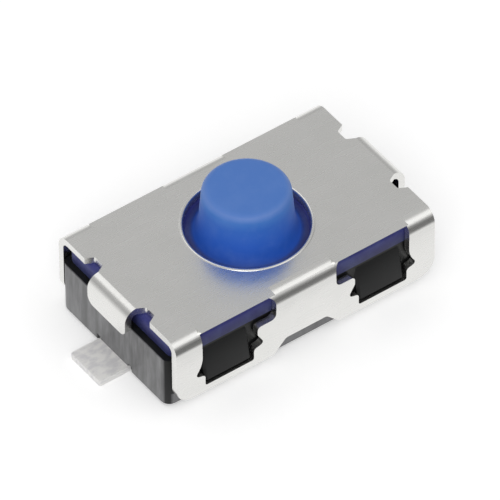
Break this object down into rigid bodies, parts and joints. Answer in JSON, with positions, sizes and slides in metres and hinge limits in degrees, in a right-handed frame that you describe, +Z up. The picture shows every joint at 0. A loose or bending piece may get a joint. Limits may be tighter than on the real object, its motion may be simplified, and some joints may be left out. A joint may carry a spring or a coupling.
{
  "type": "tactile push button switch",
  "caption": "Low surface-mount tactile switch: folded metal cover over a black base, blue silicone button with seal, snap dome and flat end terminals.",
  "frame": {"origin": "Centre of the body in plan, on the plane of the terminals' undersides, which is the solder plane.", "axes": "X runs along the body from terminal to terminal, Y across it, Z up through the button."},
  "size_m": [0.0076, 0.0038, 0.0027],
  "materials": {
    "cover_sheet": "satin nickel-plated sheet, fine rolling grain, bright sheared edges",
    "base_moulding": "black high-temperature moulding with a low sheen",
    "terminal_plating": "silver-plated brass strip, slightly mottled",
    "dome_spring": "plated stainless spring sheet",
    "silicone": "translucent blue silicone, matte skin"
  },
  "bodies": {
    "housing": {"cover": "cover_sheet", "base": "base_moulding", "terminal_rim_contact": "terminal_plating", "terminal_centre_contact": "terminal_plating", "snap_dome": "dome_spring", "rubber_seal": "silicone"},
    "button": {"rubber_button": "silicone"}
  },
  "joints": [
    {"name": "button_press", "type": "slide", "parent": "housing", "child": "button", "axis": [0, 0, -1], "range_m": [0, 0.00025], "stiffness_N_per_m": 7000, "deforming": ["snap_dome"]}
  ]
}
